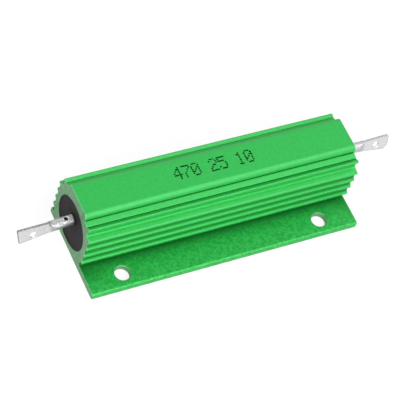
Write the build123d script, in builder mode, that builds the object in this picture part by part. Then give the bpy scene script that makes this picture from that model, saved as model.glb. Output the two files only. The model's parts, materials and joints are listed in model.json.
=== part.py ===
"""Aluminium housed wirewound resistor, in millimetres.

X runs along the housing, Y across it and Z up. The origin is the middle of the
housing's footprint, on its underside, and the mounting flange is on the -Y side.
"""
import os
from math import cos, radians, sin, sqrt, tan

from build123d import *

# Housing, one length of anodised aluminium extrusion
housing_length = 90.0
body_width = 22.4
body_height = 22.35
bore_diameter = 17.0
bore_height = 10.2

# Mounting flange, on one side only, and the foot on the other side
flange_reach = 9.4
flange_thickness = 2.1
flange_edge_round = 0.7
foot_round = 0.3
hole_diameter = 4.8
hole_pitch = 66.8
hole_inset = 4.75
hole_chamfer = 0.2

# Cooling fins on both flanks, with a shallow groove between each two and a deeper one over the foot
fin_count = 4
top_fin_drop = 6.1
lowest_fin_top = 5.45
fin_tip_thickness = 0.65
fin_tip_round = 0.18
fin_slope = 34.0
groove_depth = 0.8
groove_root_round = 0.25
foot_groove_depth = 1.55
foot_root_round = 0.45

# Shoulder ridge above the top fin, over a ledge that falls to the fin's tip
ridge_width = 18.8
ridge_drop = 2.2
ridge_fall = 0.55
ridge_nose = 1.1
ridge_recess = 0.6
ridge_round = 0.35
ledge_root_round = 0.6
ledge_fall = 0.4
ledge_edge_round = 0.5

# Shelf that slopes away from the top plate to a narrow notch, where the ridge's lower inner edge begins
shelf_drop = 2.35
shelf_fall = 0.4
notch_inner_edge = 7.75
notch_width = 0.37
notch_depth = 0.45
notch_undercut = 0.05
notch_root_round = 0.1

# Raised top plate with a slot under each lip
top_plate_width = 12.2
lip_thickness = 1.75
lip_round = 1.4
slot_depth = 0.6
slot_round = 0.3

# Moulding compound that fills the bore
compound_recess = 0.5

# Wound element, moulded in a little off the middle of the bore, its core set in from the housing's ends
element_shift = 0.9
element_rise = 2.3
core_diameter = 9.0
core_inset = 11.0
core_chamfer = 0.5
cap_wall = 0.5
cap_depth = 6.0
cap_round = 0.45
wire_diameter = 0.9
turn_pitch = 2.2
coat_thickness = 0.15
wire_clearance = 0.03

# Pin on each end cap
pin_diameter = 2.1
pin_length = 9.5
weld_collar_diameter = 4.0
weld_collar_thickness = 0.7

# Tubular terminals, each pressed flat outside and pierced
lug_wall = 0.5
lug_clearance = 0.05
lug_bend_from_cap = 9.1
lug_bend_radius = 6.0
barrel_reach = 8.2
press_length = 1.7
blade_length = 9.05
blade_thickness = 0.7
blade_root_width = 3.6
blade_tip_width = 5.1
eye_diameter = 2.2
eye_from_tip = 4.55
vent_diameter = 1.3
vent_from_bend = 4.4

# Each terminal is bent down, twisted, clipped at its tip and pierced by its own small amounts
terminals = {
    "left": {"side": -1, "droop": 8.6, "twist": 18.0, "upper_clip": 0.3, "lower_clip": 0.35, "eye_drop": 0.7},
    "right": {"side": 1, "droop": 4.5, "twist": 24.0, "upper_clip": 0.5, "lower_clip": 1.4, "eye_drop": 0.2},
}

# Most of an edge that the rounds at its two ends may take up
edge_share = 0.96

# Places worked out from the sizes above
bore_y = flange_reach / 2
bore_radius = bore_diameter / 2
body_half = body_width / 2
fin_pitch = (body_height - top_fin_drop - lowest_fin_top) / (fin_count - 1)
element_z = bore_height + element_rise
core_length = housing_length - 2 * core_inset
cap_radius = core_diameter / 2 + cap_wall
cap_face = core_length / 2 + cap_wall
lug_radius = pin_diameter / 2 + lug_clearance + lug_wall
winding_length = core_length - 2 * cap_depth
compound_length = housing_length - 2 * compound_recess
hole_y = bore_y - body_half - flange_reach + hole_inset


def flank():
    """Corners of one flank from the top plate down, as (distance, height, radius)."""
    lip_x = top_plate_width / 2
    slot_top = body_height - lip_thickness
    shelf_top = body_height - shelf_drop
    notch_top = shelf_top - shelf_fall
    ridge_x = ridge_width / 2
    ridge_top = body_height - ridge_drop
    ridge_base = ridge_top - ridge_nose
    wall_x = ridge_x - ridge_recess
    slope = tan(radians(fin_slope))
    groove_wall = body_half - groove_depth
    groove_rise = groove_depth * slope
    foot_root = body_half - foot_groove_depth

    corners = [
        (lip_x, body_height, lip_round),
        (lip_x, slot_top, fin_tip_round),
        (lip_x - slot_depth, slot_top, slot_round),
        (lip_x - slot_depth, shelf_top, slot_round),
        (lip_x, shelf_top, fin_tip_round),
        (notch_inner_edge, notch_top, fin_tip_round),
        (notch_inner_edge - notch_undercut, notch_top - notch_depth, notch_root_round),
        (notch_inner_edge + notch_width, ridge_top - ridge_fall, fin_tip_round),
        (ridge_x, ridge_top, ridge_round),
        (ridge_x, ridge_base, fin_tip_round),
        (wall_x, ridge_base - ridge_recess, ridge_round),
        (wall_x, body_height - top_fin_drop + ledge_fall, ledge_root_round),
    ]
    # Each fin's tip, then the wall of the groove below it
    for index in reversed(range(fin_count)):
        tip_top = lowest_fin_top + index * fin_pitch
        tip_base = tip_top - fin_tip_thickness
        top_round = ledge_edge_round if index == fin_count - 1 else fin_tip_round
        corners.append((body_half, tip_top, top_round))
        corners.append((body_half, tip_base, fin_tip_round))
        if index:
            corners.append((groove_wall, tip_base - groove_rise, groove_root_round))
            corners.append((groove_wall, tip_top - fin_pitch + groove_rise, groove_root_round))
    corners.append((foot_root, tip_base - foot_groove_depth * slope, foot_root_round))
    corners.append((foot_root, flange_thickness, foot_root_round))
    return corners


def outline():
    """Closed outline of the extrusion's section, as (y, z, radius)."""
    flange_x = body_half + flange_reach
    near = [(-x, z, radius) for x, z, radius in flank()]
    near.append((-flange_x, flange_thickness, flange_edge_round))
    near.append((-flange_x, 0, foot_round))
    far = flank()
    far.append((body_half, flange_thickness, fin_tip_round))
    far.append((body_half, 0, foot_round))
    return [(bore_y + x, z, radius) for x, z, radius in near + far[::-1]]


def fitted_radii(corners):
    """Each corner's radius, scaled down where two corners would overrun the edge between them."""
    points = [Vector(y, z) for y, z, _ in corners]
    ahead = [points[(i + 1) % len(points)] - point for i, point in enumerate(points)]
    turns = [ahead[i - 1].get_angle(edge) for i, edge in enumerate(ahead)]
    reach = [radius * tan(radians(turn / 2)) for (_, _, radius), turn in zip(corners, turns)]
    room = [
        edge_share * edge.length / (reach[i] + reach[(i + 1) % len(reach)])
        for i, edge in enumerate(ahead)
    ]
    return [radius * min(1, room[i - 1], room[i]) for i, (_, _, radius) in enumerate(corners)]


def blade_outline(upper_clip, lower_clip):
    """Corners of a pressed blade, from its barrel out to the clipped tip and back."""
    return [
        (0, blade_root_width / 2),
        (blade_length - upper_clip, blade_tip_width / 2),
        (blade_length, blade_tip_width / 2 - upper_clip),
        (blade_length, lower_clip - blade_tip_width / 2),
        (blade_length - lower_clip, -blade_tip_width / 2),
        (0, -blade_root_width / 2),
    ]


# Housing
corners = outline()
with BuildPart() as housing:
    with BuildSketch(Plane.YZ.offset(-housing_length / 2)):
        with BuildLine():
            FilletPolyline(*[(y, z) for y, z, _ in corners], radius=fitted_radii(corners), close=True)
        make_face()
        with Locations((bore_y, bore_height)):
            Circle(bore_radius, mode=Mode.SUBTRACT)
    extrude(amount=housing_length)
    with Locations((-hole_pitch / 2, hole_y, flange_thickness), (hole_pitch / 2, hole_y, flange_thickness)):
        Hole(hole_diameter / 2)
    chamfer(housing.edges().filter_by(GeomType.CIRCLE).filter_by(Plane.XY), hole_chamfer)
housing.part.label = "housing"

# Ceramic core
element_plane = Plane(origin=(element_shift, bore_y, element_z), x_dir=(0, 1, 0), z_dir=(1, 0, 0))
with BuildPart() as ceramic_core:
    with BuildSketch(element_plane.offset(-core_length / 2)):
        Circle(core_diameter / 2)
    extrude(amount=core_length)
    chamfer(ceramic_core.edges().filter_by(GeomType.CIRCLE), core_chamfer)
ceramic_core.part.label = "ceramic_core"

# Resistance winding: the turns of wire, joined by the thin coat that holds them on the core
wire_radius = wire_diameter / 2
coat_radius = core_diameter / 2 + coat_thickness
turn_count = int((winding_length - wire_diameter) / turn_pitch) + 1
turn_half_width = sqrt(wire_radius**2 - (wire_radius - coat_thickness) ** 2)
axis_plane = Plane(origin=(element_shift, bore_y, element_z), x_dir=(1, 0, 0), z_dir=(0, -1, 0))
with BuildPart() as resistance_winding:
    with BuildSketch(axis_plane):
        with BuildLine():
            edge_x = -winding_length / 2
            for turn in range(turn_count):
                turn_x = (turn - (turn_count - 1) / 2) * turn_pitch
                Line((edge_x, coat_radius), (turn_x - turn_half_width, coat_radius))
                edge_x = turn_x + turn_half_width
                ThreePointArc(
                    (turn_x - turn_half_width, coat_radius),
                    (turn_x, core_diameter / 2 + wire_diameter),
                    (edge_x, coat_radius),
                )
            Polyline(
                (edge_x, coat_radius),
                (winding_length / 2, coat_radius),
                (winding_length / 2, core_diameter / 2),
                (-winding_length / 2, core_diameter / 2),
                (-winding_length / 2, coat_radius),
            )
        make_face()
    revolve(axis=Axis(axis_plane.origin, axis_plane.x_dir))
resistance_winding.part.label = "resistance_winding"

sub_parts = [housing, ceramic_core, resistance_winding]
moulded_in = [ceramic_core]
lug_routes = []

for name, form in terminals.items():
    side = form["side"]
    outward = Plane(
        origin=(element_shift + side * cap_face, bore_y, element_z), x_dir=(0, -side, 0), z_dir=(side, 0, 0)
    )

    # End cap, a drawn steel cup pressed over the core
    with BuildPart() as end_cap:
        with BuildSketch(outward.offset(-cap_wall - cap_depth)):
            Circle(cap_radius)
        extrude(amount=cap_depth + cap_wall)
        fillet(end_cap.edges().sort_by(Axis(outward.origin, outward.z_dir))[-1], cap_round)
        add(ceramic_core.part, mode=Mode.SUBTRACT)
    end_cap.part.label = f"end_cap_{name}"

    # Pin with its weld collar
    with BuildPart() as cap_pin:
        with BuildSketch(outward):
            Circle(weld_collar_diameter / 2)
        extrude(amount=weld_collar_thickness)
        with BuildSketch(outward):
            Circle(pin_diameter / 2)
        extrude(amount=pin_length)
    cap_pin.part.label = f"cap_pin_{name}"

    # Terminal
    bend = outward.origin + outward.z_dir * lug_bend_from_cap
    axis = Vector(side * cos(radians(form["droop"])), 0, -sin(radians(form["droop"])))
    barrel_end = bend + axis * barrel_reach
    lug_start = outward.origin + outward.z_dir * weld_collar_thickness
    across = Vector(0, 1, 0).rotate(Axis((0, 0, 0), axis), -side * form["twist"])
    press_plane = Plane(origin=barrel_end, x_dir=across, z_dir=axis)
    blade_start = press_plane.offset(press_length)
    blade_plane = Plane(origin=blade_start.origin, x_dir=axis, z_dir=-side * across)
    with BuildPart() as terminal:
        with BuildLine() as lug_path:
            FilletPolyline(lug_start, bend, barrel_end, radius=lug_bend_radius)
        with BuildSketch(Plane(origin=lug_start, z_dir=outward.z_dir)):
            Circle(lug_radius)
            Circle(lug_radius - lug_wall, mode=Mode.SUBTRACT)
        sweep()
        with BuildSketch(press_plane):
            Circle(lug_radius)
        with BuildSketch(blade_start):
            Rectangle(blade_thickness, blade_root_width)
        loft()
        with BuildSketch(blade_plane):
            with BuildLine():
                Polyline(blade_outline(form["upper_clip"], form["lower_clip"]), close=True)
            make_face()
            with Locations((blade_length - eye_from_tip, -form["eye_drop"])):
                Circle(eye_diameter / 2, mode=Mode.SUBTRACT)
        extrude(amount=blade_thickness / 2, both=True)
        with BuildSketch(Plane(origin=bend + axis * vent_from_bend, z_dir=(0, 0, 1))):
            Circle(vent_diameter / 2)
        extrude(amount=2 * lug_radius, mode=Mode.SUBTRACT)
    terminal.part.label = f"terminal_{name}"

    sub_parts += [end_cap, cap_pin, terminal]
    moulded_in += [end_cap, cap_pin]
    lug_routes.append((lug_path.line, Plane(origin=lug_start, z_dir=outward.z_dir)))

# Moulding compound, cast round the element and the roots of the terminals
with BuildPart() as moulding_compound:
    with BuildSketch(Plane.YZ.offset(-compound_length / 2)):
        with Locations((bore_y, bore_height)):
            Circle(bore_radius)
    extrude(amount=compound_length)
    with BuildSketch(element_plane.offset(-core_length / 2 + cap_depth)):
        Circle(core_diameter / 2 + wire_diameter + wire_clearance)
    extrude(amount=winding_length, mode=Mode.SUBTRACT)
    for piece in moulded_in:
        add(piece.part, mode=Mode.SUBTRACT)
    for route, start in lug_routes:
        with BuildSketch(start):
            Circle(lug_radius)
        sweep(path=route, mode=Mode.SUBTRACT)
moulding_compound.part.label = "moulding_compound"
sub_parts.append(moulding_compound)

print(len(sub_parts), "sub-parts")
os.makedirs("parts", exist_ok=True)
for sub_part in sub_parts:
    export_step(sub_part.part, f"parts/{sub_part.part.label}.step")
    print(sub_part.part.label, round(sub_part.part.volume, 1), sub_part.part.bounding_box())
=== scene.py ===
# %% [markdown]
# # A green aluminium housed resistor
# The real part is a rod of resistance wire moulded into a finned length of aluminium extrusion. The
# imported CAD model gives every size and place, so each step below starts from a CAD box or mount, and
# builds the finish that a buyer would see: satin anodising, sawn ends, dull moulding compound and
# pressed, tinned terminals.

import json
from math import cos, pi, radians, sin, tau

import bmesh
import bpy
import numpy as np
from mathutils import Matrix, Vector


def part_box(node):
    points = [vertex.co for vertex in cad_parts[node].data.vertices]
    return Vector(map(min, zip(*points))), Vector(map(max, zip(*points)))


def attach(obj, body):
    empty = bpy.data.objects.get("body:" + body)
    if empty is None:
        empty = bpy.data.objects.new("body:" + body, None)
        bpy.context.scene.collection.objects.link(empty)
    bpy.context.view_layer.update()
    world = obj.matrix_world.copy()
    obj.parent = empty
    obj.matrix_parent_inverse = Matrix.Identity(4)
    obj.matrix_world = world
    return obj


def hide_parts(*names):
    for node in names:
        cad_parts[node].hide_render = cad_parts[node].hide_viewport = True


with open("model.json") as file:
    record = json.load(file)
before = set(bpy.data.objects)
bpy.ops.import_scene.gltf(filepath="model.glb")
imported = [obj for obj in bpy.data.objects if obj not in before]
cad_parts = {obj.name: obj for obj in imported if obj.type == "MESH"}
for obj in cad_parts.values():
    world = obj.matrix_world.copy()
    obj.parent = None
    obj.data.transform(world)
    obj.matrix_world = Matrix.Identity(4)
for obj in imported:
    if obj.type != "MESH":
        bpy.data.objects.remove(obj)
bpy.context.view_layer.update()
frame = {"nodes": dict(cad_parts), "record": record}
MM = 0.001
mounts = {mount["name"]: mount for mount in frame["record"]["mounts"]}

# %% [markdown]
# ## The camera
# The photograph is a close product shot from above the left end. A camera has a place, a direction of
# view and a roll, and writing those three out is clearer than a matrix of nine numbers. Azimuth 0 looks
# along +Y, and elevation is the angle that the lens looks down by. The photographer also let the part
# climb towards the top right corner, which is a roll about the line of sight.

# %% Place the camera
lens_place = np.array([-226.64, -231.37, 448.53]) * MM
view_azimuth = radians(-43.702)
view_elevation = radians(53.698)
view_roll = radians(23.134)
focal_length = 164.57

forward = np.array([
    -sin(view_azimuth) * cos(view_elevation),
    cos(view_azimuth) * cos(view_elevation),
    -sin(view_elevation),
])
level = np.array([cos(view_azimuth), sin(view_azimuth), 0.0])
level_up = np.cross(level, forward)
right = level * cos(view_roll) + level_up * sin(view_roll)
pose = np.eye(4)
pose[:3, 0] = right
pose[:3, 1] = np.cross(right, forward)
pose[:3, 2] = -forward
pose[:3, 3] = lens_place

camera = bpy.data.objects.new("camera", bpy.data.cameras.new("camera"))
camera.data.lens = focal_length
camera.data.sensor_width = 36.0
camera.matrix_world = pose.T.tolist()
bpy.context.scene.collection.objects.link(camera)
bpy.context.scene.camera = camera
print("camera looks along", forward.round(3))

# %% [markdown]
# ## Meshes from grids
# Every new piece here is a surface with two parameters. One runs along the piece and one runs round it,
# so its points fit in an array of rows and columns, and the faces follow from the array's shape alone.
# One helper turns such an array into a closed mesh. Holes are cut with a Boolean, because a drilled
# hole in a pressed or extruded form is what the workshop makes too.

# %% Turn a grid of points into a piece
def put_in_scene(name, points, faces):
    """Adds an object at the origin with a mesh of these points and faces, all turned outwards."""
    mesh = bpy.data.meshes.new(name)
    mesh.from_pydata(points.reshape(-1, 3), [], faces)
    shell = bmesh.new()
    shell.from_mesh(mesh)
    if shell.calc_volume(signed=True) < 0:
        bmesh.ops.reverse_faces(shell, faces=shell.faces)
    shell.to_mesh(mesh)
    shell.free()
    piece = bpy.data.objects.new(name, mesh)
    bpy.context.scene.collection.objects.link(piece)
    return piece


def point_numbers(points):
    """The number of each point of a grid, in the grid's own shape."""
    return np.arange(points[..., 0].size).reshape(points.shape[:-1])


def quads(index):
    """One cell between four neighbours of a grid of point numbers. The columns close round to the first."""
    beside = np.roll(index, -1, axis=-1)
    this_row = [index[..., :-1, :], beside[..., :-1, :]]
    next_row = [beside[..., 1:, :], index[..., 1:, :]]
    return np.stack(this_row + next_row, axis=-1).reshape(-1, 4).tolist()


def grid_piece(name, points):
    """A closed piece from points[row, column, xyz]: its cells, and one face to close each end row."""
    index = point_numbers(points)
    ends = [index[0, ::-1].tolist(), index[-1].tolist()]
    return put_in_scene(name, points, quads(index) + ends)


# %% Circles and turned pieces
def unit_circle(columns):
    """Rows of cos a and sin a, at equal steps of the angle a."""
    angle = np.linspace(0, tau, columns, endpoint=False)
    return np.stack([np.cos(angle), np.sin(angle)], axis=1)


def turned(name, profile, centre, axis, columns=96):
    """A turned piece. Row i of profile is (distance along the axis, radius), and the point at angle a is
    centre + distance * axis + radius * (cos a * side + sin a * other side)."""
    axis = np.array(axis) / np.linalg.norm(axis)
    side = np.cross(axis, np.eye(3)[np.argmin(np.abs(axis))])
    side /= np.linalg.norm(side)
    c, s = unit_circle(columns).T
    ring = c[:, None] * side + s[:, None] * np.cross(axis, side)
    distance, radius = np.array(profile).T
    spine = np.array(centre) + distance[:, None] * axis
    return grid_piece(name, spine[:, None] + radius[:, None, None] * ring)


# %% Mark and read a piece's points
def mark_points(piece, label, values):
    """Gives each point a number from 0 to 1, which the piece's finish reads by this label."""
    layer = piece.data.attributes.new(label, "FLOAT", "POINT")
    layer.data.foreach_set("value", values.astype(np.float32).reshape(-1))


def read_rows(items, key):
    """Three numbers for each vertex or face, such as its place or its normal, as the rows of an array."""
    values = np.empty(len(items) * 3)
    items.foreach_get(key, values)
    return values.reshape(-1, 3)


# %% Cut, drill and smooth a piece
def cut(piece, tool):
    """Takes the tool's volume out of the piece, keeps the result as plain mesh and clears the tool away."""
    step = piece.modifiers.new("cut", "BOOLEAN")
    step.operation = "DIFFERENCE"
    step.solver = "MANIFOLD"
    step.object = tool
    graph = bpy.context.evaluated_depsgraph_get()
    result = bpy.data.meshes.new_from_object(piece.evaluated_get(graph))
    piece.modifiers.clear()
    piece.data = result
    bpy.data.objects.remove(tool)


def drill(piece, radius, centre, axis, top, bottom, rim):
    """Drills a hole whose rims are eased by a cone: the radius grows one for one past each face."""
    past = 1.0 * MM
    profile = [
        (bottom - past, radius + rim + past),
        (bottom, radius + rim),
        (bottom + rim, radius),
        (top - rim, radius),
        (top, radius + rim),
        (top + past, radius + rim + past),
    ]
    cut(piece, turned("drill", profile, centre, axis))


def smooth(piece, crease=40.0):
    """Shades the piece smooth, with a crease where two faces meet at more than the angle in degrees.
    Normals are weighted by area, so that flat faces stay flat beside small rounds."""
    piece.data.shade_smooth()
    piece.data.set_sharp_from_angle(angle=radians(crease))
    step = piece.modifiers.new("weighted normals", "WEIGHTED_NORMAL")
    step.keep_sharp = True
    step.weight = 100


# %% [markdown]
# ## The extrusion
# The housing is one length of extrusion, so it is one outline carried along a straight line. The outline
# is a list of corners, each with the radius that the die gives it. Two things make it look real up close:
# the arcs at the corners, which catch the light as thin bright lines, and the eased edge that deburring
# leaves round each sawn end. The same arrays also mark the points on outer corners, where the finish
# wears, and the points in deep roots, where a darker green is painted in as shade.

# %% Sizes of the body and the flange
housing_low, housing_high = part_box("housing")
bore_low, bore_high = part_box("moulding_compound")
flange_reach = 9.4 * MM
flange_thickness = 2.1 * MM
flange_edge_round = 0.7 * MM
foot_round = 0.3 * MM
body_top = housing_high.z
body_half = (housing_high.y - housing_low.y - flange_reach) / 2
bore_y = (bore_low.y + bore_high.y) / 2
bore_z = (bore_low.z + bore_high.z) / 2
bore_radius = (bore_high.z - bore_low.z) / 2
print(f"body {2 * body_half / MM:.1f} mm wide, bore {2 * bore_radius / MM:.1f} mm across")

# %% Sizes of the top plate, the shelf and the ridge
top_plate_half = 6.1 * MM
lip_thickness = 1.75 * MM
lip_round = 1.4 * MM
slot_depth = 0.6 * MM
slot_round = 0.3 * MM
shelf_top = body_top - 2.35 * MM
shelf_fall = 0.4 * MM
notch_inner_edge = 7.75 * MM
notch_width = 0.37 * MM
notch_depth = 0.45 * MM
notch_undercut = 0.05 * MM
notch_root_round = 0.1 * MM
ridge_half = 9.4 * MM
ridge_top = body_top - 2.2 * MM
ridge_fall = 0.55 * MM
ridge_nose = 1.1 * MM
ridge_recess = 0.6 * MM
ridge_round = 0.35 * MM
ledge_root_round = 0.6 * MM
ledge_fall = 0.4 * MM
ledge_edge_round = 0.5 * MM
print(f"shelf {(body_top - shelf_top) / MM:.2f} mm below the top, ridge {2 * ridge_half / MM:.1f} mm wide")

# %% Sizes of the fins and grooves
fin_count = 4
top_fin = body_top - 6.1 * MM
lowest_fin = 5.45 * MM
fin_pitch = (top_fin - lowest_fin) / (fin_count - 1)
fin_tip_thickness = 0.65 * MM
fin_tip_round = 0.18 * MM
fin_slope = np.tan(radians(34.0))
# Painted shade: how dark the lower root of each groove is painted.
fin_root_shade = 0.8
groove_depth = 0.8 * MM
groove_root_round = 0.25 * MM
foot_groove_depth = 1.55 * MM
foot_root_round = 0.45 * MM
print(f"{fin_count} fins on each flank, one every {fin_pitch / MM:.2f} mm")


# %% Corners of one flank
def flank_corners(notch_shade):
    """Corners of one flank from the top plate down, as (distance from the middle, height, radius, depth).
    Depth says how much shade is painted there, from 0 on open faces to 1 in the deepest roots. The notch
    takes the depth it is given, because the photograph shows it dark on the flange's side alone."""
    lip_base = body_top - lip_thickness
    slot_wall = top_plate_half - slot_depth
    notch_top = shelf_top - shelf_fall
    ridge_base = ridge_top - ridge_nose
    ridge_wall = ridge_half - ridge_recess
    corners = [
        (top_plate_half, body_top, lip_round, 0),
        (top_plate_half, lip_base, fin_tip_round, 0),
        (slot_wall, lip_base, slot_round, 1),
        (slot_wall, shelf_top, slot_round, 1),
        (top_plate_half, shelf_top, fin_tip_round, 0),
        (notch_inner_edge, notch_top, fin_tip_round, 0),
        # The notch's root gets as much painted shade as the argument says.
        (notch_inner_edge - notch_undercut, notch_top - notch_depth, notch_root_round, notch_shade),
        (notch_inner_edge + notch_width, ridge_top - ridge_fall, fin_tip_round, 0),
        (ridge_half, ridge_top, ridge_round, 0),
        (ridge_half, ridge_base, fin_tip_round, 0),
        (ridge_wall, ridge_base - ridge_recess, ridge_round, 0),
        (ridge_wall, top_fin + ledge_fall, ledge_root_round, 0),
    ]
    groove_wall = body_half - groove_depth
    groove_rise = groove_depth * fin_slope
    foot_root = body_half - foot_groove_depth
    for index in reversed(range(fin_count)):
        tip_top = lowest_fin + index * fin_pitch
        tip_base = tip_top - fin_tip_thickness
        top_round = ledge_edge_round if index == fin_count - 1 else fin_tip_round
        corners.append((body_half, tip_top, top_round, 0))
        corners.append((body_half, tip_base, fin_tip_round, 0))
        if index:
            corners.append((groove_wall, tip_base - groove_rise, groove_root_round, 0))
            next_tip = tip_top - fin_pitch
            corners.append((groove_wall, next_tip + groove_rise, groove_root_round, fin_root_shade))
    corners.append((foot_root, tip_base - foot_groove_depth * fin_slope, foot_root_round, 1))
    corners.append((foot_root, flange_thickness, foot_root_round, 1))
    return np.array(corners)


# %% Corners of the whole section
def section_corners():
    """Both flanks as one closed list, anticlockwise seen from +X: the flange's side, then the foot's."""
    flange_half = body_half + flange_reach
    # Painted shade fills the notch on the flange's side alone.
    near = flank_corners(notch_shade=1) * (-1, 1, 1, 1)
    flange = [(-flange_half, flange_thickness, flange_edge_round, 0), (-flange_half, 0, foot_round, 0)]
    foot = [(body_half, 0, foot_round, 0), (body_half, flange_thickness, fin_tip_round, 0)]
    far = flank_corners(notch_shade=0)[::-1]
    return np.vstack([near, flange, foot, far]) + (bore_y, 0, 0, 0)


corners = section_corners()
print(len(corners), "corners round the section")


# %% Round the corners
def rounded_outline(corners, samples=7, guard=0.12 * MM, edge_share=0.96):
    """Carries a closed outline round its corners. An arc of radius r that turns by t starts r * tan(t / 2)
    before its corner, and its centre lies r to the inner side of the edge there. Where two arcs would
    overrun the edge between them, both shrink. A guard point stands on the flat on each side of an arc.
    Returns the points, their outward normals, 1 where a point lies on an outer corner, and the depths of
    painted shade."""
    points, radii = corners[:, :2], corners[:, 2]
    edge = np.roll(points, -1, axis=0) - points
    length = np.linalg.norm(edge, axis=1)
    way_out = edge / length[:, None]
    way_in = np.roll(way_out, 1, axis=0)
    turn = np.arctan2(
        way_in[:, 0] * way_out[:, 1] - way_in[:, 1] * way_out[:, 0], np.sum(way_in * way_out, axis=1)
    )
    reach = radii * np.tan(np.abs(turn) / 2)
    room = edge_share * length / (reach + np.roll(reach, -1))
    share = np.minimum(1, np.minimum(room, np.roll(room, 1)))
    reach, radii = reach * share, radii * share

    inner_side = np.sign(turn)[:, None] * np.stack([-way_in[:, 1], way_in[:, 0]], axis=1)
    start = points - way_in * reach[:, None]
    centre = start + inner_side * radii[:, None]
    angle = np.linspace(0, 1, samples) * turn[:, None]
    spoke = (start - centre)[:, None]
    c, s = np.cos(angle)[..., None], np.sin(angle)[..., None]
    arc_spoke = spoke * c + np.stack([-spoke[..., 1], spoke[..., 0]], axis=-1) * s
    arc = centre[:, None] + arc_spoke

    flat = length - reach - np.roll(reach, -1)
    after = np.minimum(guard, flat / 3)
    before = np.roll(after, 1)
    first = arc[:, :1] - (way_in * before[:, None])[:, None]
    last = arc[:, -1:] + (way_out * after[:, None])[:, None]
    loop = np.concatenate([first, arc, last], axis=1)

    outward = arc_spoke / np.linalg.norm(arc_spoke, axis=-1, keepdims=True) * np.sign(turn)[:, None, None]
    normals = np.concatenate([outward[:, :1], outward, outward[:, -1:]], axis=1)
    crest = np.zeros(loop.shape[:2])
    crest[turn > 0, 1:-1] = 1
    depth = np.repeat(corners[:, 3], loop.shape[1])
    return loop.reshape(-1, 2), normals.reshape(-1, 2), crest.reshape(-1), depth


outline, outline_normals, outline_crest, outline_root_shade = rounded_outline(corners)
print(len(outline), "points round the section,", int(outline_crest.sum()), "of them on outer corners")


# %% Carry the section along the housing
flange_corner_round = 0.5 * MM
flange_corner_reach = 1.5 * MM
corner_wear = 0.08
ease_rows = 4


def extrusion(name, ease=0.11 * MM, guard=0.15 * MM):
    """Row i of the grid is the outline at x[i], drawn in by inset[i] along its normals. Over the eased
    edge both follow a quarter circle: x = end + ease * (1 - cos a), inset = ease * (1 - sin a). The
    flange's corners are round in plan too: at a distance d from the end its edge is pulled back by
    r - sqrt(r^2 - (r - d)^2), and less so further in."""
    angle = np.linspace(0, pi / 2, ease_rows)
    eased = ease * (1 - np.cos(angle))
    from_end = np.append(eased, np.linspace(eased[-1], flange_corner_round, ease_rows)[1:])
    from_end = np.append(from_end, from_end[-1] + guard)
    inset = np.zeros_like(from_end)
    inset[:ease_rows] = ease * (1 - np.sin(angle))
    x = np.concatenate([housing_low.x + from_end, housing_high.x - from_end[::-1]])
    inset = np.concatenate([inset, inset[::-1]])
    worn = np.concatenate([from_end <= ease, from_end[::-1] <= ease])

    section = outline - inset[:, None, None] * outline_normals
    short = np.clip(flange_corner_round - np.minimum(x - x[0], x[-1] - x), 0, None)
    pull = flange_corner_round - np.sqrt(flange_corner_round**2 - short**2)
    front_share = np.clip(1 - (outline[:, 0] - housing_low.y) / flange_corner_reach, 0, 1)
    section[..., 0] += pull[:, None] * front_share
    along = np.broadcast_to(x[:, None, None], (len(x), len(outline), 1))
    piece = grid_piece(name, np.concatenate([along, section], axis=2))
    crest = np.maximum(worn[:, None], corner_wear * outline_crest)
    mark_points(piece, "crest", crest)
    # Depth marks where shade is painted into the roots.
    mark_points(piece, "depth", np.broadcast_to(outline_root_shade, crest.shape))
    return piece


housing = extrusion("housing_extrusion")
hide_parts("housing")
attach(housing, "root")
print("extrusion:", len(housing.data.vertices), "points")

# %% [markdown]
# The bore is drilled through the whole length, and the two screw holes go through the flange where the
# record's mount says. A punched or drilled hole has a slightly broken rim, and a cone on the cutting tool
# makes it.

# %% Drill the housing
screw_holes = mounts["mounting_holes"]
screw_radius = screw_holes["dims"]["hole_r_mm"] * MM
screw_spacing = screw_holes["dims"]["spacing_x_mm"] * MM
screw_x, screw_y, _ = screw_holes["pos_m"]
rim_width = 0.2 * MM
bore_rim = 0.15 * MM

drill(housing, bore_radius, (0, bore_y, bore_z), (1, 0, 0), housing_high.x, housing_low.x, bore_rim)
for side in (-1, 1):
    place = (screw_x + side * screw_spacing / 2, screw_y, 0)
    drill(housing, screw_radius, place, (0, 0, 1), flange_thickness, 0, rim_width)
smooth(housing)
print("housing:", len(housing.data.polygons), "faces after drilling")

# %% [markdown]
# ## The terminals
# Each terminal is a short tin-plated tube. One end stays round and is welded inside, and the other is
# pressed flat into a blade and punched with an eye for the wire. A surface for that is a section that
# changes along a bent line. The section stays that of a round tube, and a limit on how far it may stand
# out does the pressing, as the two halves of the die do: the limit is far off along the barrel, closes in
# along a straight ramp, and stays at half the blade's thickness. Grease and oxide collect on the folded
# edges, and shade is painted on them too, so the same function also marks those points for the finish.

# %% Sizes of a terminal
tube_radius = 1.6 * MM
tube_bore = 1.1 * MM
bend_from_start = 8.4 * MM
bend_radius = 6.0 * MM
barrel_reach = 8.2 * MM
press_length = 1.7 * MM
blade_length = 9.05 * MM
blade_half_thickness = 0.35 * MM
blade_root_half = 1.8 * MM
blade_tip_half = 2.55 * MM
die_power = 8.0
ramp_limit = 6.0
tip_round = 0.09 * MM
tip_zone = 1.6 * MM
vent_radius = 0.65 * MM
vent_from_bend = 4.4 * MM
eye_rim = 0.07 * MM
press_start = bend_from_start + barrel_reach
blade_start = press_start + press_length
blade_end = blade_start + blade_length
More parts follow.
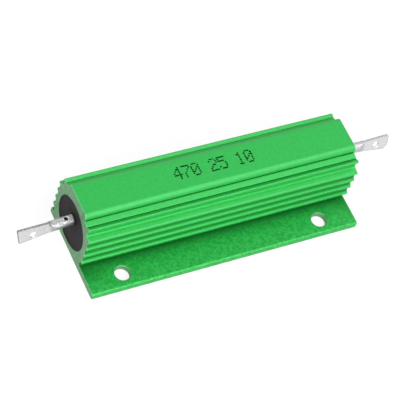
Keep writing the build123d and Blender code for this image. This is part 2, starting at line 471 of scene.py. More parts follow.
# The last value sets how strong the dirt and painted shade are on each terminal.
terminal_forms = {
    "left": dict(side=-1, droop=radians(8.6), upper_clip=0.3 * MM, lower_clip=0.35 * MM, soil_and_shade_level=1.0),
    "right": dict(side=1, droop=radians(4.5), upper_clip=0.5 * MM, lower_clip=1.4 * MM, soil_and_shade_level=0.6),
}
print(f"each terminal is {blade_end / MM:.1f} mm long along its bend")


# %% The line that a terminal follows
bend_steps = 4000


def between(value, low, high):
    """0 below low, 1 above high, and in proportion between them."""
    return np.clip((value - low) / (high - low), 0, 1)


def terminal_line(station, start, form):
    """Centre and direction at each station, the distance along the tube. The slope goes from 0 to droop
    in proportion to the distance over the bend, which is a circular arc, and the centre is the running
    sum of the direction's steps."""
    side, droop = form["side"], form["droop"]
    bend_start = bend_from_start - bend_radius * np.tan(droop / 2)
    fine = np.linspace(station[0], station[-1], bend_steps + 1)
    slope = droop * between(fine, bend_start, bend_start + bend_radius * droop)
    step = np.stack([side * np.cos(slope), np.zeros_like(slope), -np.sin(slope)], axis=1)
    middle = (step[1:] + step[:-1]) / 2 * np.diff(fine)[:, None]
    run = np.vstack([np.zeros(3), np.cumsum(middle, axis=0)]) + station[0] * step[0]
    centre = np.stack([np.interp(station, fine, run[:, k]) for k in range(3)], axis=1) + start
    direction = np.stack([np.interp(station, fine, step[:, k]) for k in range(3)], axis=1)
    return centre, direction


def tube_points(line, thin_way, half_up, half_down, round_half, die_half, columns=72):
    """Points of a tube in a press. At angle a the round tube's point stands half width * cos a up, with
    its own half width for the upper and lower halves, and t = round_half * |sin a| across. With the die's
    half gap d it stands t * d / (t^p + d^p)^(1/p) across: t where the die is far off, and d where the die
    holds it, with a soft edge between. Returns the points and cos a for each column."""
    centre, direction = line
    rise = np.cross(direction, thin_way)
    rise *= np.sign(rise[:, 2:])
    rise /= np.linalg.norm(rise, axis=1, keepdims=True)
    across = np.cross(rise, direction)
    c, s = unit_circle(columns).T
    up = np.where(c > 0, half_up[:, None], half_down[:, None]) * c
    stand = round_half * np.abs(s)
    held = (stand**die_power + die_half[:, None] ** die_power) ** (1 / die_power)
    out = np.sign(s) * stand * die_half[:, None] / held
    return centre[:, None] + up[..., None] * rise[:, None] + out[..., None] * across[:, None], c


# %% Where the tin is darkened by dirt and painted shade
soil_and_shade_edge = (0.82, 0.94)
soil_and_shade_fold = (0.45, 0.65)
soil_and_shade_tip = (blade_end - 0.36 * MM, blade_end - 0.06 * MM)
lower_edge_soil_and_shade = 0.6
tip_soil_and_shade = 0.8
barrel_soil = 0.68


def soil_and_shade_of(station, up_share, pressed):
    """How dark the tin is at each point, from 0 to 1, partly as dirt and partly as painted shade. The
    blade's folded edges are darkest, the upper one more than the lower one, and the upper fold beside the
    press step, where 4 * p * (1 - p) is high for the pressed share p. The sheared tip comes next, and the
    barrel is dull all over."""
    edge = between(np.abs(up_share), *soil_and_shade_edge) * np.where(up_share > 0, 1.0, lower_edge_soil_and_shade)
    sheared = between(station, *soil_and_shade_tip)
    fold = 4 * (pressed * (1 - pressed))[:, None] * between(up_share, *soil_and_shade_fold)
    blade = np.maximum(edge * pressed[:, None], tip_soil_and_shade * sheared[:, None])
    return np.maximum(blade, np.maximum(fold, barrel_soil * (1 - pressed)[:, None]))


# %% Press a terminal
def terminal_stations(form):
    """Distances along the tube at which its section is worked out. They lie closer together where it
    changes, and one marks the start of each clipped corner."""
    shear = blade_end - tip_round
    return np.unique(np.concatenate([
        np.linspace(0, press_start, 34),
        np.linspace(press_start, blade_start, 15),
        np.linspace(blade_start, blade_end - tip_zone, 22),
        np.linspace(blade_end - tip_zone, shear, 12),
        shear + tip_round * np.sin(np.linspace(0, pi / 2, 5)),
        [blade_end - form["upper_clip"], blade_end - form["lower_clip"]],
    ]))


def pressed_tube(name, start, form, thin_way):
    """The tube before its holes. With t from 0 to 1 over the press step, the share 3 t^2 - 2 t^3 of the
    change from barrel to blade is done. The blade widens in a straight line, a clip takes each corner off
    its tip at 45 degrees, and over the last r the section draws in by r - sqrt(r^2 - d^2) at depth d."""
    station = terminal_stations(form)
    t = between(station, press_start, blade_start)
    pressed = t * t * (3 - 2 * t)
    width = tube_radius + (blade_root_half - tube_radius) * pressed
    width += (blade_tip_half - blade_root_half) * between(station, blade_start, blade_end)
    from_end = blade_end - station
    into_round = np.clip(tip_round - from_end, 0, tip_round)
    nose = tip_round - np.sqrt(tip_round**2 - into_round**2)
    half_up = np.minimum(width, blade_tip_half - form["upper_clip"] + from_end) - nose
    half_down = np.minimum(width, blade_tip_half - form["lower_clip"] + from_end) - nose
    ramp_left = np.clip((blade_start - station) / press_length, 0, ramp_limit)
    die_half = blade_half_thickness + (tube_radius - blade_half_thickness) * ramp_left - nose

    line = terminal_line(station, start, form)
    points, up_share = tube_points(line, thin_way, half_up, half_down, tube_radius, die_half)
    piece = grid_piece(name, points)
    # Marks the dirt and painted shade on the tin.
    mark_points(piece, "soil_and_shade", form["soil_and_shade_level"] * soil_and_shade_of(station, up_share, pressed))
    return piece


# %% Bore, punch and vent a terminal
bore_start = -0.5 * MM
bore_stop = press_start - 0.3 * MM
open_die = 9.0


def terminal(name, node, form, eye):
    """Makes one terminal. It starts at its node's inner end, on the axis of the wound element. The tool
    for the bore is a tube too, in a die that stands open by many radii and so leaves it round."""
    low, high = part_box(node)
    core_low, core_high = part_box("ceramic_core")
    inner_end = low.x if form["side"] > 0 else high.x
    start = np.array([inner_end, (core_low.y + core_high.y) / 2, (core_low.z + core_high.z) / 2])
    piece = pressed_tube(name, start, form, eye["axis"])

    inside = np.linspace(bore_start, bore_stop, 40)
    bore = np.full_like(inside, tube_bore)
    line = terminal_line(inside, start, form)
    bore_points, _ = tube_points(line, eye["axis"], bore, bore, tube_bore, open_die * bore)
    cut(piece, grid_piece("bore tool", bore_points))

    thick = blade_half_thickness
    drill(piece, eye["dims"]["r_mm"] * MM, eye["pos_m"], eye["axis"], thick, -thick, eye_rim)

    vent_line, _ = terminal_line(np.array([0, bend_from_start + vent_from_bend]), start, form)
    vent = [
        (0, vent_radius),
        (tube_radius - eye_rim, vent_radius),
        (2 * tube_radius, vent_radius + tube_radius),
    ]
    cut(piece, turned("vent tool", vent, vent_line[-1], (0, 0, 1), columns=48))
    smooth(piece, crease=50.0)
    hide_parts(node)
    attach(piece, "root")
    return piece


terminals = {
    end: terminal(f"pressed_terminal_{end}", f"terminal_{end}", form, mounts[f"terminal_eye_{end}"])
    for end, form in terminal_forms.items()
}
for piece in terminals.values():
    print(piece.name, len(piece.data.polygons), "faces")

# %% [markdown]
# ## The moulding compound
# The compound is poured as a thick paste and cures with a slightly uneven face. It creeps a little up the
# bore's wall and up the terminal, which leaves a small fillet round both. The CAD body has a plain flat
# end, so a thin skin lies on it: a ruled grid between the terminal's circle and the bore's circle, raised
# by two fading fillets and a slow ripple. The grid also marks where a shadow is painted round the terminal.

# %% Heights over the end of the compound
skin_gap = 0.03 * MM
skin_sink = 0.05 * MM
skin_film = 0.02 * MM
tube_fillet = 0.42 * MM
wall_fillet = 0.3 * MM
fillet_width = 0.45 * MM
# How far the painted shadow round the terminal reaches.
shadow_width = 2.2 * MM
ripple = 0.05 * MM
tube_window = 0.4 * MM


def tube_height(piece, face_x):
    """Height of the tube's middle where it leaves the compound, from the piece's own points there."""
    points = read_rows(piece.data.vertices, "co")
    z = points[np.abs(points[:, 0] - face_x) < tube_window, 2]
    return (z.max() + z.min()) / 2


def swell(y, z, side):
    """A slow uneven wave between -1 and 1, for y and z in mm: the product of two sines, and half of a
    third one that runs aslant. Each end has its own phase."""
    slow = np.sin(0.9 * y + 0.4 * side) * np.sin(0.7 * z + 1.1)
    aslant = np.sin(1.9 * z - 0.8 * y + side)
    return (slow + 0.5 * aslant) / 1.5


# %% Skin on each end of the compound
def compound_skin(name, end):
    """Between circle A round the terminal and circle B inside the bore, the point is A + v * (B - A).
    Its height is film + ripple * (1 + swell) + fillets that fade as exp(-distance / width), and the
    painted shadow round the terminal fades in the same way."""
    side = terminal_forms[end]["side"]
    face_x = bore_high.x if side > 0 else bore_low.x
    tube_middle = np.array([bore_y, tube_height(terminals[end], face_x)])
    bore_middle = np.array([bore_y, bore_z])
    skin_radius = bore_radius - skin_gap
    ring = unit_circle(120)
    inner = tube_middle + ring * tube_radius
    outer = bore_middle + ring * skin_radius
    v = (1 - np.cos(np.linspace(0, pi, 34))) / 2
    flat = inner + v[:, None, None] * (outer - inner)
    from_tube = np.linalg.norm(flat - tube_middle, axis=2) - tube_radius
    from_wall = skin_radius - np.linalg.norm(flat - bore_middle, axis=2)
    y, z = (flat - bore_middle).transpose(2, 0, 1) / MM
    height = (
        skin_film
        + ripple * (1 + swell(y, z, side))
        + tube_fillet * np.exp(-from_tube / fillet_width)
        + wall_fillet * np.exp(-from_wall / fillet_width)
    )
    top = np.concatenate([(face_x + side * height)[..., None], flat], axis=2)
    base = top[::-1].copy()
    base[..., 0] = face_x - side * skin_sink
    points = np.concatenate([top, base], axis=0)
    index = point_numbers(points)
    piece = put_in_scene(name, points, quads(np.vstack([index, index[:1]])))
    # A shadow painted round the terminal's root.
    painted_shadow = np.exp(-from_tube / shadow_width)
    mark_points(piece, "painted_shadow", np.concatenate([painted_shadow, painted_shadow[::-1]]))
    smooth(piece, crease=60.0)
    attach(piece, "root")
    return piece


skins = [compound_skin(f"compound_skin_{end}", end) for end in terminal_forms]
print("skins:", [len(skin.data.polygons) for skin in skins], "faces")

# %% [markdown]
# ## The printed value
# A printer with a column of seven nozzles puts the value on the top plate as rows of ink dots. The digits
# here are plain numbers. Each glyph is five columns by seven rows, and every dot is a low dome of ink, so
# that it has a real edge and catches a little light.

# %% Lay out the dots
digits = {
    "0": "01110 10001 10011 10101 11001 10001 01110",
    "1": "00100 01100 00100 00100 00100 00100 01110",
    "2": "01110 10001 00001 00110 01000 10000 11111",
    "4": "00010 00110 01010 10010 11111 00010 00010",
    "5": "11111 10000 11110 00001 00001 10001 01110",
    "7": "11111 00001 00010 00100 01000 01000 01000",
    " ": "00000 00000 00000 00000 00000 00000 00000",
}
printed_value = "470 25 10"
glyph_height = 3.9 * MM
glyph_width = 2.15 * MM
glyph_pitch = 2.95 * MM
print_left = -14.0 * MM
print_base = 3.3 * MM
print_slant = 0.1 * MM
dot_wobble = 0.03 * MM


def dot_centres(text):
    """Where the ink dots lie, from the bitmaps of the glyphs: one row with x and y for each set dot."""
    bitmap = np.array([[[int(dot) for dot in row] for row in digits[c].split()] for c in text])
    _, rows, columns = bitmap.shape
    glyph, row, column = np.nonzero(bitmap)
    down = row / (rows - 1)
    x = print_left + glyph * glyph_pitch + column / (columns - 1) * glyph_width
    y = print_base + (1 - down) * glyph_height
    wobble = np.random.default_rng(7).normal(0, dot_wobble, (2, len(x)))
    return np.stack([x + wobble[0] + print_slant * down, y + wobble[1]], axis=1)


# %% Print the dots
dot_radius = 0.3 * MM
dot_height = 0.02 * MM
dot_size_spread = 0.09


def ink_dots(name, centres):
    """Low domes: ring k of each dome has radius r * cos(a) and height h * sin(a), for a from 0 to 90.
    One more ring lies as far below the plate's face, so that no gap shows under a dot."""
    rise = np.linspace(0, pi / 2, 4)[:-1]
    size = np.random.default_rng(11).normal(1, dot_size_spread, len(centres))
    radius = np.append(dot_radius, dot_radius * np.cos(rise))
    level_z = np.append(-dot_height, dot_height * np.sin(rise)) + body_top
    ring_radius = size[:, None, None, None] * radius[:, None, None]
    flat = centres[:, None, None] + ring_radius * unit_circle(12)
    tall = np.broadcast_to(level_z[:, None, None], flat.shape[:3] + (1,))
    points = np.concatenate([flat, tall], axis=3)
    index = point_numbers(points)
    ends = index[:, 0, ::-1].tolist() + index[:, -1].tolist()
    piece = put_in_scene(name, points, quads(index) + ends)
    smooth(piece, crease=60.0)
    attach(piece, "root")
    return piece


ink = ink_dots("printed_value", dot_centres(printed_value))
print("ink:", len(ink.data.polygons), "faces")

# %% [markdown]
# ## Shared effects
# Three effects turn up in more than one finish: a fine grain, lines drawn out along the part by the die
# or the tube mill, and scattered marks. Each is a node group, so every material calls it with its own
# size and strength. The groups give out plain values, and each material decides what they change.

# %% Helpers for nodes
def plug(tree, socket, value):
    """Links another node's output to a socket, or writes a plain value on it."""
    if isinstance(value, bpy.types.NodeSocket):
        tree.links.new(value, socket)
    else:
        socket.default_value = value


def add(tree, kind, inputs=None, **settings):
    """Adds a node. Settings are its properties, and each input is a value or another node's output."""
    made = tree.nodes.new(kind)
    for key, value in settings.items():
        setattr(made, key, value)
    for key, value in (inputs or {}).items():
        plug(tree, made.inputs[key], value)
    return made


def calculate(tree, operation, *values):
    """A Math node on up to three values."""
    return add(tree, "ShaderNodeMath", dict(enumerate(values)), operation=operation).outputs[0]


def times(tree, value, factor):
    """A product."""
    return calculate(tree, "MULTIPLY", value, factor)


def scaled(tree, value, factor, start):
    """Start where the value is 0, and start + factor where it is 1."""
    return calculate(tree, "MULTIPLY_ADD", value, factor, start)


def ramp(tree, value, low, high):
    """Takes a value between low and high to 0 to 1, with soft ends."""
    inputs = {"Value": value, "From Min": low, "From Max": high}
    return add(tree, "ShaderNodeMapRange", inputs, interpolation_type="SMOOTHSTEP").outputs[0]


def noise(tree, position, scale, **inputs):
    """Smooth noise that varies about 0.5."""
    inputs = {"Vector": position, "Scale": scale, **inputs}
    return add(tree, "ShaderNodeTexNoise", inputs).outputs[0]


# %% Start a node group
def effect(name, inputs, outputs):
    """An empty node group. It takes a Position and named inputs, each with a first value, and gives out
    named values."""
    tree = bpy.data.node_groups.new(name, "ShaderNodeTree")
    tree.interface.new_socket("Position", in_out="INPUT", socket_type="NodeSocketVector")
    for label, value in inputs.items():
        socket = tree.interface.new_socket(label, in_out="INPUT", socket_type="NodeSocketFloat")
        socket.default_value = value
    for label in outputs:
        tree.interface.new_socket(label, in_out="OUTPUT", socket_type="NodeSocketFloat")
    return tree, tree.nodes.new("NodeGroupInput").outputs, tree.nodes.new("NodeGroupOutput").inputs


# %% Fine grain
def make_grain():
    """Noise whose features are Size metres across, with finer octaves on top."""
    tree, given, result = effect("fine grain", {"Size": 0.0003}, ["Grain"])
    scale = calculate(tree, "DIVIDE", 1.0, given["Size"])
    plug(tree, result["Grain"], noise(tree, given["Position"], scale, Detail=3.0, Roughness=0.6))
    return tree


grain_effect = make_grain()


# %% Drawn lines
def make_lines():
    """Noise stretched far along X and squeezed across it, so it reads as fine parallel lines."""
    tree, given, result = effect("drawn lines", {"Spacing": 0.0004, "Stretch": 60.0}, ["Lines"])
    parts = add(tree, "ShaderNodeSeparateXYZ", {0: given["Position"]}).outputs
    along = calculate(tree, "DIVIDE", parts[0], given["Stretch"])
    squeezed = add(tree, "ShaderNodeCombineXYZ", {0: along, 1: parts[1], 2: parts[2]}).outputs[0]
    scale = calculate(tree, "DIVIDE", 1.0, given["Spacing"])
    plug(tree, result["Lines"], noise(tree, squeezed, scale, Detail=4.0, Roughness=0.65))
    return tree


lines_effect = make_lines()


# %% Scattered marks
def make_marks():
    """Specks are the cores of Voronoi cells, and each cell's own chance says if it keeps its speck. Scuffs
    are thin lines where a twisted noise crosses its middle, shown where a slower noise is high."""
    tree, given, result = effect("scattered marks", {"Size": 0.0015, "Amount": 0.5}, ["Specks", "Scuffs"])
    position, amount = given["Position"], given["Amount"]
    scale = calculate(tree, "DIVIDE", 1.0, given["Size"])
    cells = add(tree, "ShaderNodeTexVoronoi", {"Vector": position, "Scale": scale, "Randomness": 1.0})
    core = ramp(tree, cells.outputs["Distance"], 0.16, 0.06)
    chance = add(tree, "ShaderNodeSeparateColor", {0: cells.outputs["Color"]}).outputs[0]
    kept = calculate(tree, "LESS_THAN", chance, times(tree, amount, 0.4))
    plug(tree, result["Specks"], times(tree, core, kept))

    twisted_scale = times(tree, scale, 0.35)
    twisted = noise(tree, position, twisted_scale, Detail=2.0, Distortion=1.5)
    from_middle = calculate(tree, "ABSOLUTE", calculate(tree, "SUBTRACT", twisted, 0.5))
    thin = ramp(tree, from_middle, 0.012, 0.002)
    patch = noise(tree, position, times(tree, scale, 0.2))
    patch_start = calculate(tree, "SUBTRACT", 0.75, times(tree, amount, 0.2))
    shown = ramp(tree, patch, patch_start, 0.8)
    plug(tree, result["Scuffs"], times(tree, thin, shown))
    return tree


marks_effect = make_marks()
print("effects:", [tree.name for tree in (grain_effect, lines_effect, marks_effect)])


# %% Start a material
def begin(name, **shader):
    """A new material with its Principled shader set, and the piece's own Object coordinates."""
    material = bpy.data.materials.new(name)
    material.use_nodes = True
    tree = material.node_tree
    principled = tree.nodes["Principled BSDF"]
    for key, value in shader.items():
        principled.inputs[key.replace("_", " ")].default_value = value
    position = add(tree, "ShaderNodeTexCoord").outputs["Object"]
    return material, tree, principled, position


def use(tree, group, position, **values):
    """Places a node group with its own values, and returns its outputs."""
    return add(tree, "ShaderNodeGroup", {"Position": position, **values}, node_tree=group).outputs


def grain_of(tree, position, size):
    """The fine grain at one size."""
    return use(tree, grain_effect, position, Size=size)["Grain"]


def attribute(tree, label):
    """The number that mark_points gave to each point of the piece."""
    return add(tree, "ShaderNodeAttribute", attribute_name=label).outputs["Fac"]


def blend_colour(tree, factor, a, b):
    """A mix of two colours. Its factor is socket 0 of the Mix node, and its colours are 6 and 7."""
    return add(tree, "ShaderNodeMix", {0: factor, 6: a, 7: b}, data_type="RGBA").outputs[2]


def stain(tree, colour, other, mask, strength):
    """Takes a colour towards another one, by the strength where the mask is 1."""
    return blend_colour(tree, times(tree, mask, strength), colour, other)


# %% Finish a material
def feed(tree, principled, **outputs):
    """Links what changes over the surface to the shader's sockets."""
    for key, output in outputs.items():
        tree.links.new(output, principled.inputs[key.replace("_", " ")])


def bump(tree, principled, *layers):
    """Stacks Bump nodes, each (height, distance in metres), and feeds the last into the shader."""
    normal = None
    for height, distance in layers:
        inputs = {"Height": height, "Distance": distance, "Strength": 1.0}
        if normal is not None:
            inputs["Normal"] = normal
        normal = add(tree, "ShaderNodeBump", inputs).outputs[0]
    feed(tree, principled, Normal=normal)


def dress(piece, material):
    """Puts one material on a piece, in place of what it had."""
    piece.data.materials.clear()
    piece.data.materials.append(material)


# %% [markdown]
# ## Satin anodising
# Anodised aluminium is metal seen through a dyed, slightly milky oxide. The dye makes it look painted,
# but broad highlights keep the colour of the dye, which is what a little Metallic gives. The die leaves
# faint lines along the part, the etch before dyeing leaves a fine grain, and the dye takes up a little
# unevenly, most of all on the flange. On the outer corners the oxide is thin and pale. In the roots a
# darker green is painted in as shade, with more Metallic so that the reflections there are green too. The
# crest and depth attributes say where.

# %% Anodised finish
dye = (0.021, 0.455, 0.071, 1)
dye_deep = (0.002, 0.30, 0.034, 1)
# Painted shade: the darkest green, laid into the groove roots.
root_shade_green = (0.002, 0.17, 0.016, 1)
oxide_pale = (0.30, 0.62, 0.38, 1)


def anodised():
    """The dye, with mottling that grows towards the flange, specks, painted shade in the roots and pale
    worn corners. Fine die lines and the etched grain stand as bumps."""
    material, tree, principled, position = begin("anodised_green", Specular_IOR_Level=0.45)
    grain = grain_of(tree, position, 0.00022)
    lines = use(tree, lines_effect, position, Spacing=0.00035, Stretch=80.0)["Lines"]
    marks = use(tree, marks_effect, position, Size=0.0022, Amount=0.5)
    mottle = ramp(tree, grain_of(tree, position, 0.0009), 0.36, 0.64)
    height = add(tree, "ShaderNodeSeparateXYZ", {0: position}).outputs[2]
    flange = ramp(tree, height, 0.006, 0.003)
    # Depth says how much shade is painted in the roots, as a darker green and more Metallic.
    depth = attribute(tree, "depth")
    worn = times(tree, attribute(tree, "crest"), ramp(tree, grain, 0.2, 0.6))

    mottle_strength = scaled(tree, flange, 0.65, 0.2)
    colour = stain(tree, dye, dye_deep, mottle, mottle_strength)
    colour = stain(tree, colour, dye_deep, marks["Specks"], 0.55)
    colour = stain(tree, colour, root_shade_green, depth, 0.9)
    colour = stain(tree, colour, oxide_pale, worn, 0.7)
    flange_metal = times(tree, flange, 0.1)
    root_metal = times(tree, depth, 0.5)
    metal = calculate(tree, "ADD", calculate(tree, "MAXIMUM", flange_metal, root_metal), 0.25)
    rough = scaled(tree, grain, 0.12, 0.36)
    rough = scaled(tree, marks["Scuffs"], 0.1, rough)
    rough = scaled(tree, depth, 0.25, rough)
    feed(tree, principled, Base_Color=colour, Metallic=metal, Roughness=rough)
    bump(tree, principled, (lines, 0.000012), (grain, 0.000016))
    return material


# %% [markdown]
# ## Sawn and drilled faces
# The bar was dyed before it was sawn and drilled, so its ends and the walls of its holes are dull metal
# with some green dragged over it. They could be pieces of their own, but a second material on the same
# mesh leaves no seam, and each face's direction and place say which of the two it gets.

# %% Sawn finish
sawn_green = (0.10, 0.31, 0.13, 1)
sawn_bright = (0.17, 0.41, 0.20, 1)
sawn_bare = (0.33, 0.36, 0.27, 1)
saw_slant = radians(12)


def sawn():
    """Saw lines are the drawn lines, turned so that they run across the end face."""
    material, tree, principled, position = begin("sawn_end", Metallic=0.3)
    turn = {"Vector": position, "Rotation": (0, pi / 2, saw_slant)}
    across = add(tree, "ShaderNodeMapping", turn).outputs[0]
    lines = use(tree, lines_effect, across, Spacing=0.0003, Stretch=40.0)["Lines"]
    grain = grain_of(tree, position, 0.0006)
    bare = ramp(tree, grain_of(tree, position, 0.003), 0.52, 0.68)
    colour = stain(tree, sawn_green, sawn_bright, ramp(tree, lines, 0.4, 0.65), 0.8)
    colour = stain(tree, colour, sawn_bare, bare, 0.6)
    colour = stain(tree, colour, sawn_green, ramp(tree, grain, 0.5, 0.8), 0.4)
    rough = scaled(tree, grain, 0.2, 0.4)
    feed(tree, principled, Base_Color=colour, Roughness=rough)
    bump(tree, principled, (lines, 0.00002))
    return material


# %% Choose the sawn faces
end_facing = 0.85


def finish_housing(piece):
    """The anodised finish all over, and the sawn one on faces that look along the housing and on the
    walls of the bore and the screw holes. Returns how many faces are sawn or drilled."""
    dress(piece, anodised())
    piece.data.materials.append(sawn())
    faces = piece.data.polygons
    x, y, z = read_rows(faces, "center").T
    facing_x, _, facing_z = np.abs(read_rows(faces, "normal").T)
    from_hole = np.hypot(np.abs(x - screw_x) - screw_spacing / 2, y - screw_y)
    bare = facing_x > end_facing
    bare |= np.hypot(y - bore_y, z - bore_z) < bore_radius + bore_rim
    bare |= (from_hole < screw_radius + rim_width) & (facing_z < end_facing)
    faces.foreach_set("material_index", bare.astype(np.int32))
    return bare.sum()


print("sawn and drilled:", finish_housing(housing), "faces of", len(housing.data.polygons))

# %% [markdown]
# ## Tin and compound
# Tin plate is a soft dull metal. Its roughness changes from place to place where it was handled and
# pressed, and that shows more than its colour does. An attribute darkens its folded edges, partly as dirt
# and partly as painted shade. The compound is a matt filled plastic with a fine grain and a few pale
# scuffs, and another attribute paints a shadow on it round the terminal.

# %% Tinned finish
tin_clean = (0.69, 0.69, 0.70, 1)
tin_dull = (0.57, 0.57, 0.58, 1)
tin_scuffed = (0.36, 0.36, 0.36, 1)
# Dirt and painted shade on the folded edges, the tip and the press fold.
tin_soil_and_shade = (0.10, 0.10, 0.10, 1)


def tinned():
    """Clean and dull patches of tin with scuffs, and dirt and painted shade that lie thicker on the dull
    patches.
    """
    material, tree, principled, position = begin("tinned_metal", Metallic=1.0)
    grain = grain_of(tree, position, 0.0005)
    lines = use(tree, lines_effect, position, Spacing=0.0003, Stretch=20.0)["Lines"]
    marks = use(tree, marks_effect, position, Size=0.0012, Amount=1.0)
    dull = ramp(tree, grain, 0.35, 0.7)
    soil_and_shade = attribute(tree, "soil_and_shade")
    colour = blend_colour(tree, dull, tin_clean, tin_dull)
    colour = stain(tree, colour, tin_scuffed, marks["Scuffs"], 0.5)
    colour = stain(tree, colour, tin_soil_and_shade, soil_and_shade, scaled(tree, dull, 0.3, 0.65))
    rough = scaled(tree, dull, 0.16, 0.32)
    rough = scaled(tree, soil_and_shade, 0.15, rough)
    feed(tree, principled, Base_Color=colour, Roughness=rough)
    bump(tree, principled, (lines, 0.00001), (grain, 0.00002))
    return material


# %% Compound finish
compound_cool = (0.034, 0.030, 0.045, 1)
compound_warm = (0.037, 0.027, 0.027, 1)
compound_dark = (0.012, 0.010, 0.011, 1)
# Painted shadow round the terminal.
compound_shadow = (0.002, 0.002, 0.002, 1)
compound_scuffed = (0.16, 0.15, 0.15, 1)
compound_pitted = (0.01, 0.01, 0.01, 1)


def moulded():
    """Near black with cool and warm patches, darker in its grain and in the painted shadow round the
    terminal, and with pale scuffs.
    The specks are pits."""
    material, tree, principled, position = begin("moulding_compound", Specular_IOR_Level=0.12)
    grain = grain_of(tree, position, 0.0003)
    marks = use(tree, marks_effect, position, Size=0.0014, Amount=1.2)
    tint = ramp(tree, grain_of(tree, position, 0.006), 0.4, 0.6)
    colour = blend_colour(tree, tint, compound_cool, compound_warm)
    colour = stain(tree, colour, compound_dark, grain, 0.6)
    colour = blend_colour(tree, attribute(tree, "painted_shadow"), colour, compound_shadow)
    colour = stain(tree, colour, compound_scuffed, marks["Scuffs"], 0.5)
    colour = stain(tree, colour, compound_pitted, marks["Specks"], 0.8)
    rough = scaled(tree, grain, 0.2, 0.55)
    feed(tree, principled, Base_Color=colour, Roughness=rough)
    bump(tree, principled, (grain, 0.00004), (marks["Specks"], -0.00005))
    return material


# %% [markdown]
# ## Ink and the hidden pieces
# The ink has soaked into the oxide, so it is a dark green with almost no gloss. The pieces inside can't be
# seen in the photograph, but each has its own finish, because the part may be opened later. One function
# serves them all: two near colours, blended by the grain.

# %% Finishes between two colours
def plain_finish(name, light, dark, size, roughness, relief, metallic=0.0, gloss=0.5):
    """A grain of the given size between two colours. It also varies the roughness and stands as a bump."""
    material, tree, principled, position = begin(name, Metallic=metallic, Specular_IOR_Level=gloss)
    grain = grain_of(tree, position, size)
    colour = blend_colour(tree, grain, light, dark)
    rough = scaled(tree, grain, 0.15, roughness)
    feed(tree, principled, Base_Color=colour, Roughness=rough)
    bump(tree, principled, (grain, relief))
    return material


ceramic = plain_finish(
    "ceramic", light=(0.80, 0.78, 0.73, 1), dark=(0.68, 0.66, 0.60, 1),
    size=0.0008, roughness=0.55, relief=0.00002,
)
wire = plain_finish(
    "resistance_wire", light=(0.46, 0.42, 0.37, 1), dark=(0.34, 0.30, 0.27, 1),
    size=0.0002, roughness=0.3, relief=0.000005, metallic=1.0,
)
steel = plain_finish(
    "cap_steel", light=(0.58, 0.58, 0.59, 1), dark=(0.48, 0.48, 0.50, 1),
    size=0.0004, roughness=0.3, relief=0.000008, metallic=1.0,
)
printer_ink = plain_finish(
    "printer_ink", light=(0.001, 0.03, 0.004, 1), dark=(0.002, 0.06, 0.008, 1),
    size=0.0003, roughness=0.7, relief=0.00001, gloss=0.08,
)

# %% Dress the pieces
nodes = frame["nodes"]
tin = tinned()
compound = moulded()
for piece in terminals.values():
    dress(piece, tin)
for piece in [*skins, nodes["moulding_compound"]]:
    dress(piece, compound)
dress(ink, printer_ink)
dress(nodes["ceramic_core"], ceramic)
dress(nodes["resistance_winding"], wire)
for end in terminal_forms:
    dress(nodes[f"end_cap_{end}"], steel)
    dress(nodes[f"cap_pin_{end}"], steel)
print("materials:", len(bpy.data.materials))

# %% [markdown]
# ## The studio
# The photograph was taken in a light tent: soft light comes from low in front, from above and from
# behind, so that no side is dark, and only the roots of the grooves stay in shade. Five square area lamps
# at one distance stand for the lit walls of the tent. To the camera the floor and the room are white, but
# neither sends more light to the part for that.

# %% Floor
floor_half = 1.5
floor_glow = 0.86
floor_corners = floor_half * np.array([(-1, -1, 0), (1, -1, 0), (1, 1, 0), (-1, 1, 0)])
floor = put_in_scene("floor", floor_corners, [(0, 1, 2, 3)])


def seen_directly(tree):
    """1 for rays from the camera and for what gloss and glass show."""
    rays = add(tree, "ShaderNodeLightPath").outputs
    seen = calculate(tree, "MAXIMUM", rays["Is Camera Ray"], rays["Is Glossy Ray"])
    return calculate(tree, "MAXIMUM", seen, rays["Is Transmission Ray"])


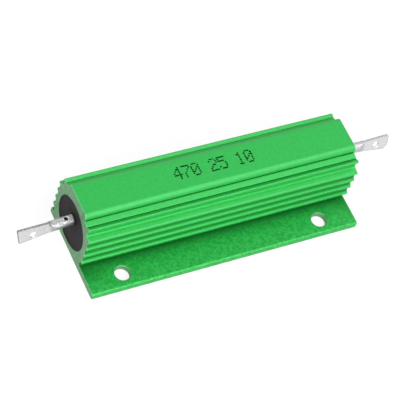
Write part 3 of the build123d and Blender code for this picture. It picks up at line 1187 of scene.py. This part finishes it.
def white_floor():
    """To the camera, a little of the light that falls on the floor and its own white, so that a shadow
    stays as a faint grey. To all other rays, plain pale paper."""
    material = bpy.data.materials.new("white_floor")
    material.use_nodes = True
    tree = material.node_tree
    tree.nodes.clear()
    paper = add(tree, "ShaderNodeBsdfDiffuse", {"Color": (0.8, 0.8, 0.8, 1)}).outputs[0]
    faint = add(tree, "ShaderNodeBsdfDiffuse", {"Color": (0.2, 0.2, 0.2, 1)}).outputs[0]
    glow = add(tree, "ShaderNodeEmission", {"Strength": floor_glow}).outputs[0]
    shown = add(tree, "ShaderNodeAddShader", {0: faint, 1: glow}).outputs[0]
    either = add(tree, "ShaderNodeMixShader", {0: seen_directly(tree), 1: paper, 2: shown}).outputs[0]
    add(tree, "ShaderNodeOutputMaterial", {"Surface": either})
    return material


dress(floor, white_floor())
print("floor:", 2 * floor_half, "m wide")

# %% Room
fill_strength = 0.08
world = bpy.data.worlds.new("studio")
world.use_nodes = True
bpy.context.scene.world = world
backdrop = world.node_tree.nodes["Background"]
backdrop.inputs["Color"].default_value = (1, 1, 1, 1)
light_levels = {"Value": seen_directly(world.node_tree), "To Min": fill_strength, "To Max": 1.0}
light_level = add(world.node_tree, "ShaderNodeMapRange", light_levels).outputs[0]
world.node_tree.links.new(light_level, backdrop.inputs["Strength"])
print("room: 1 to the camera, and", fill_strength, "as light")

# %% Lamps
lamp_distance = 0.8
lamp_size = 0.45
lamps = {
    "front": dict(tilt=62, turn=270, power=3.0),
    "front_left": dict(tilt=60, turn=225, power=2.2),
    "high_front": dict(tilt=30, turn=296, power=2.1),
    "high_right": dict(tilt=30, turn=0, power=1.3),
    "back": dict(tilt=54, turn=112, power=2.0),
}


def soft_lamp(name, tilt, turn, power):
    """A square area lamp that looks at the middle of the part. Tilt is measured from straight up, and
    turn is the compass direction it leans towards, from +X round to +Y."""
    lamp = bpy.data.lights.new(name, "AREA")
    lamp.size = lamp_size
    lamp.energy = power
    stand = bpy.data.objects.new(name, lamp)
    way = np.array([sin(tilt) * cos(turn), sin(tilt) * sin(turn), cos(tilt)])
    stand.location = way * lamp_distance
    stand.rotation_euler = (0, tilt, turn)
    bpy.context.scene.collection.objects.link(stand)


for name, lamp in lamps.items():
    soft_lamp(name, radians(lamp["tilt"]), radians(lamp["turn"]), lamp["power"])
print("lamps:", {name: f"{lamp['power']} W" for name, lamp in lamps.items()})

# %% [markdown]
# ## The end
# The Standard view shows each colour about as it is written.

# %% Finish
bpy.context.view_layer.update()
view = bpy.context.scene.view_settings
view.view_transform = "Standard"
